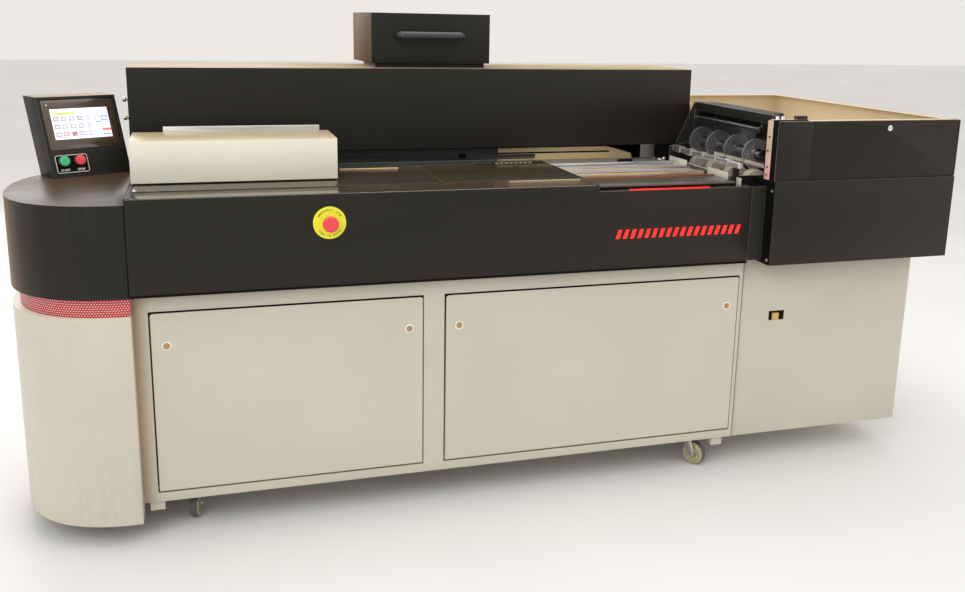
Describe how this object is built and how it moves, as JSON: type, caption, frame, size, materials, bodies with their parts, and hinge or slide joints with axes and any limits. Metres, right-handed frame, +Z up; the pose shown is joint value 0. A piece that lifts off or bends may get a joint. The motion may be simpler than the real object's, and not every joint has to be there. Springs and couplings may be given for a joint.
{
  "type": "perfect binding machine",
  "caption": "Floor-standing glue binder: book clamp on a table, rear housing, milling, glue and nip stations, cover feeder, console on a rounded pod",
  "frame": {"origin": "middle of the floor plan, at floor level", "axes": "+X from the pod toward the cover feeder, +Y from the front cover to the back, +Z up"},
  "size_m": [2.922, 1.084, 1.482],
  "materials": {
    "black_paint": "satin",
    "beige_paint": "satin",
    "cream_paint": "satin",
    "red_mesh": "matt",
    "gloss_black": "gloss",
    "frame_paint": "satin",
    "yellow_plastic": "satin",
    "red_plastic": "gloss",
    "green_plastic": "gloss",
    "tan_paint": "satin",
    "copper_metal": "satin",
    "steel": "brushed",
    "aluminium": "satin",
    "motor_grey": "satin",
    "console_grey": "satin",
    "screen_black": "gloss",
    "zinc": "satin",
    "wheel_grey": "matt",
    "clear_disc": "clear",
    "smoked": "gloss",
    "cream_roller": "satin",
    "lock_white": "satin",
    "lamp_red": "gloss",
    "handle_black": "satin"
  },
  "bodies": {
    "machine": {"base_frame": "frame_paint", "cabinet_shell": "beige_paint", "lower_pod": "beige_paint", "pod_grille": "red_mesh", "upper_pod": "black_paint", "front_cover": "black_paint", "table_plates": "gloss_black", "estop_base": "yellow_plastic", "status_lights": "lamp_red", "rear_housing": "black_paint", "glue_melter": "aluminium", "carriage_beam": "frame_paint", "motors": "motor_grey", "caster_mounts": "zinc", "glue_tank": "aluminium", "nip_bed": "frame_paint", "cover_rests": "tan_paint", "nip_rails": "copper_metal", "feeder_frame": "cream_paint", "right_housing": "beige_paint", "right_lower_cover": "black_paint", "feeder_body": "black_paint", "bin_liner": "cream_paint", "console_shell": "console_grey", "touch_screen": "screen_black", "control_cabinet": "cream_paint"},
    "left_door_body": {"left_door": "beige_paint"},
    "right_door_body": {"right_door": "beige_paint"},
    "left_door_left_lock_body": {"left_door_left_lock": "lock_white"},
    "left_door_right_lock_body": {"left_door_right_lock": "lock_white"},
    "right_door_left_lock_body": {"right_door_left_lock": "lock_white"},
    "right_door_right_lock_body": {"right_door_right_lock": "lock_white"},
    "front_left_swivel": {"front_left_fork": "zinc"},
    "front_right_swivel": {"front_right_fork": "zinc"},
    "front_left_roll": {"front_left_wheel": "wheel_grey"},
    "front_right_roll": {"front_right_wheel": "wheel_grey"},
    "rear_left_roll": {"rear_left_wheel": "wheel_grey"},
    "rear_right_roll": {"rear_right_wheel": "wheel_grey"},
    "glue_hood": {"hood": "black_paint", "hood_handle": "handle_black"},
    "carriage": {"clamp_carriage": "aluminium", "clamp_rods": "zinc", "rear_jaw": "steel"},
    "moving_jaw": {"front_jaw": "aluminium", "clamp_cover": "cream_paint"},
    "screw": {"drive_screw": "steel"},
    "cutter": {"milling_cutter": "steel"},
    "roller": {"glue_roller": "steel"},
    "front_nip": {"nip_front_bar": "steel"},
    "rear_nip": {"nip_rear_bar": "steel"},
    "guard": {"feeder_guard": "smoked"},
    "upper_feed": {"feed_discs": "clear_disc"},
    "lower_feed": {"feed_drums": "cream_roller"},
    "front_guide": {"front_side_guide": "cream_paint"},
    "rear_guide": {"rear_side_guide": "cream_paint"},
    "flap": {"pile_flap": "black_paint"},
    "start": {"start_button": "green_plastic"},
    "stop": {"stop_button": "red_plastic"},
    "estop_slider": {"estop_stem": "handle_black"},
    "estop_knob": {"estop_head": "red_plastic"}
  },
  "joints": [
    {"name": "left_door_hinge", "type": "hinge", "parent": "machine", "child": "left_door_body", "pos_m": [-1.028, -0.435, 0.141], "axis": [1, 0, 0], "range_deg": [0, 90]},
    {"name": "right_door_hinge", "type": "hinge", "parent": "machine", "child": "right_door_body", "pos_m": [-0.128, -0.435, 0.141], "axis": [1, 0, 0], "range_deg": [0, 90]},
    {"name": "left_door_left_lock_turn", "type": "hinge", "parent": "left_door_body", "child": "left_door_left_lock_body", "pos_m": [-1.042, -0.431, 0.567], "axis": [0, 1, 0], "range_deg": [0, 90]},
    {"name": "left_door_right_lock_turn", "type": "hinge", "parent": "left_door_body", "child": "left_door_right_lock_body", "pos_m": [-0.357, -0.431, 0.567], "axis": [0, -1, 0], "range_deg": [0, 90]},
    {"name": "right_door_left_lock_turn", "type": "hinge", "parent": "right_door_body", "child": "right_door_left_lock_body", "pos_m": [-0.204, -0.431, 0.567], "axis": [0, 1, 0], "range_deg": [0, 90]},
    {"name": "right_door_right_lock_turn", "type": "hinge", "parent": "right_door_body", "child": "right_door_right_lock_body", "pos_m": [0.7, -0.431, 0.567], "axis": [0, -1, 0], "range_deg": [0, 90]},
    {"name": "front_left_caster_turn", "type": "hinge", "parent": "machine", "child": "front_left_swivel", "pos_m": [-0.993, -0.381, 0.09], "axis": [0, 0, 1], "continuous": true},
    {"name": "front_right_caster_turn", "type": "hinge", "parent": "machine", "child": "front_right_swivel", "pos_m": [0.627, -0.381, 0.09], "axis": [0, 0, 1], "continuous": true},
    {"name": "front_left_wheel_roll", "type": "hinge", "parent": "front_left_swivel", "child": "front_left_roll", "pos_m": [-0.98575, -0.35395, 0.04], "axis": [-0.9659, 0.2588, 0], "continuous": true},
    {"name": "front_right_wheel_roll", "type": "hinge", "parent": "front_right_swivel", "child": "front_right_roll", "pos_m": [0.641, -0.40525, 0.04], "axis": [0.866, 0.5, 0], "continuous": true},
    {"name": "rear_left_wheel_roll", "type": "hinge", "parent": "machine", "child": "rear_left_roll", "pos_m": [-0.993, 0.357, 0.04], "axis": [-1, 0, 0], "continuous": true},
    {"name": "rear_right_wheel_roll", "type": "hinge", "parent": "machine", "child": "rear_right_roll", "pos_m": [0.627, 0.357, 0.04], "axis": [-1, 0, 0], "continuous": true},
    {"name": "hood_lift", "type": "hinge", "parent": "machine", "child": "glue_hood", "pos_m": [-0.228, 0.384, 1.315], "axis": [-1, 0, 0], "range_deg": [0, 75]},
    {"name": "clamp_travel", "type": "slide", "parent": "machine", "child": "carriage", "axis": [1, 0, 0], "range_m": [0, 1.19]},
    {"name": "clamp_open", "type": "slide", "parent": "carriage", "child": "moving_jaw", "axis": [0, -1, 0], "range_m": [0, 0.05]},
    {"name": "drive_screw_turn", "type": "hinge", "parent": "machine", "child": "screw", "pos_m": [-0.228, 0.14, 1.109], "axis": [1, 0, 0], "continuous": true},
    {"name": "cutter_spin", "type": "hinge", "parent": "machine", "child": "cutter", "pos_m": [-0.107, -0.046, 0.9], "axis": [0, 0, 1], "continuous": true},
    {"name": "glue_roller_turn", "type": "hinge", "parent": "machine", "child": "roller", "pos_m": [0.116, -0.046, 0.954], "axis": [0, 1, 0], "continuous": true},
    {"name": "front_nip_close", "type": "slide", "parent": "machine", "child": "front_nip", "axis": [0, 1, 0], "range_m": [0, 0.018]},
    {"name": "rear_nip_close", "type": "slide", "parent": "machine", "child": "rear_nip", "axis": [0, -1, 0], "range_m": [0, 0.018]},
    {"name": "guard_lift", "type": "hinge", "parent": "machine", "child": "guard", "pos_m": [0.8, -0.191, 1.138], "axis": [0, 1, 0], "range_deg": [0, 80]},
    {"name": "upper_feed_turn", "type": "hinge", "parent": "machine", "child": "upper_feed", "pos_m": [0.817, -0.191, 1.054], "axis": [0, 1, 0], "continuous": true},
    {"name": "lower_feed_turn", "type": "hinge", "parent": "machine", "child": "lower_feed", "pos_m": [0.817, -0.191, 0.9634], "axis": [0, 1, 0], "continuous": true},
    {"name": "front_guide_shift", "type": "slide", "parent": "machine", "child": "front_guide", "axis": [0, 1, 0], "range_m": [0, 0.08]},
    {"name": "rear_guide_shift", "type": "slide", "parent": "machine", "child": "rear_guide", "axis": [0, -1, 0], "range_m": [0, 0.06]},
    {"name": "flap_drop", "type": "hinge", "parent": "machine", "child": "flap", "pos_m": [1.172, -0.53, 1], "axis": [1, 0, 0], "range_deg": [0, 90]},
    {"name": "start_press", "type": "slide", "parent": "machine", "child": "start", "axis": [-0.4455, 0.8204, -0.3585], "range_m": [0, 0.004], "stiffness_N_per_m": 600},
    {"name": "stop_press", "type": "slide", "parent": "machine", "child": "stop", "axis": [-0.4455, 0.8204, -0.3585], "range_m": [0, 0.004], "stiffness_N_per_m": 600},
    {"name": "estop_press", "type": "slide", "parent": "machine", "child": "estop_slider", "axis": [0, 1, 0], "range_m": [0, 0.006]},
    {"name": "estop_twist", "type": "hinge", "parent": "estop_slider", "child": "estop_knob", "pos_m": [-0.593, -0.511, 0.907], "axis": [0, -1, 0], "range_deg": [0, 45], "stiffness_Nm_per_rad": 0.2}
  ],
  "couplings": [
    {"joint": "drive_screw_turn", "follows": "clamp_travel", "rad_per_m": 157.08},
    {"joint": "rear_nip_close", "follows": "front_nip_close", "ratio": 1},
    {"joint": "lower_feed_turn", "follows": "upper_feed_turn", "ratio": -1.25}
  ]
}
